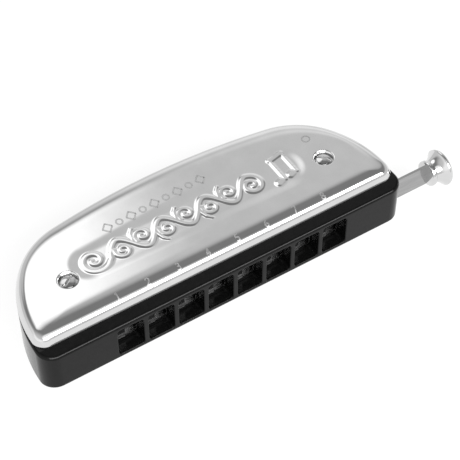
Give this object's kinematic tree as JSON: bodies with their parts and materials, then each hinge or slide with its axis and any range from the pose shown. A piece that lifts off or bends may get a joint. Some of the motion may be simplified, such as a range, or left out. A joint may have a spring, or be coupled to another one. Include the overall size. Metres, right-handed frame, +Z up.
{
  "type": "chromatic harmonica",
  "caption": "Slide chromatic harmonica: black mouthpiece body with square holes between two chromed covers, with a spring-return slide button at the right end.",
  "frame": {"origin": "centre of the flat resting face of the lower cover", "axes": "+X towards the slide button, +Y to the back of the instrument, away from the mouth holes, +Z up through the numbered cover"},
  "size_m": [0.1396, 0.0447, 0.0228],
  "materials": {
    "black_plastic": "moulded, semi-gloss",
    "comb_plastic": "moulded, matt",
    "cover_chrome": "bright chrome on pressed steel",
    "screw_steel": "polished nickel",
    "plate_brass": "rolled sheet",
    "reed_brass": "filed spring brass",
    "rivet_brass": "peened",
    "valve_film": "thin film",
    "plate_screw_brass": "turned",
    "slide_steel": "satin nickel-plated strip",
    "guide_steel": "satin strip",
    "spacer_steel": "satin strip",
    "spring_steel": "drawn wire",
    "pin_steel": "ground pin",
    "bumper_rubber": "silicone tube",
    "button_chrome": "polished chrome on turned brass"
  },
  "bodies": {
    "instrument": {"body_shell": "black_plastic", "comb": "comb_plastic", "top_cover": "cover_chrome", "bottom_cover": "cover_chrome", "top_cover_screws": "screw_steel", "bottom_cover_screws": "screw_steel", "upper_reed_plate": "plate_brass", "upper_blow_reeds": "reed_brass", "upper_draw_reeds": "reed_brass", "upper_reed_rivets": "rivet_brass", "upper_outer_valves": "valve_film", "upper_inner_valves": "valve_film", "upper_plate_screws": "plate_screw_brass", "lower_reed_plate": "plate_brass", "lower_blow_reeds": "reed_brass", "lower_draw_reeds": "reed_brass", "lower_reed_rivets": "rivet_brass", "lower_outer_valves": "valve_film", "lower_inner_valves": "valve_film", "lower_plate_screws": "plate_screw_brass", "slide_front_plate": "guide_steel", "slide_rear_plate": "guide_steel", "slide_spacers": "spacer_steel", "slide_spring": "spring_steel", "slide_stop_pin": "pin_steel", "slide_bumper": "bumper_rubber"},
    "slide_assembly": {"slide": "slide_steel", "slide_button": "button_chrome", "button_pin": "pin_steel"}
  },
  "joints": [
    {"name": "slide_press", "type": "slide", "parent": "instrument", "child": "slide_assembly", "axis": [-1, 0, 0], "range_m": [0, 0.0049], "stiffness_N_per_m": 300, "springref_m": -0.004, "deforming": ["slide_spring"]}
  ]
}
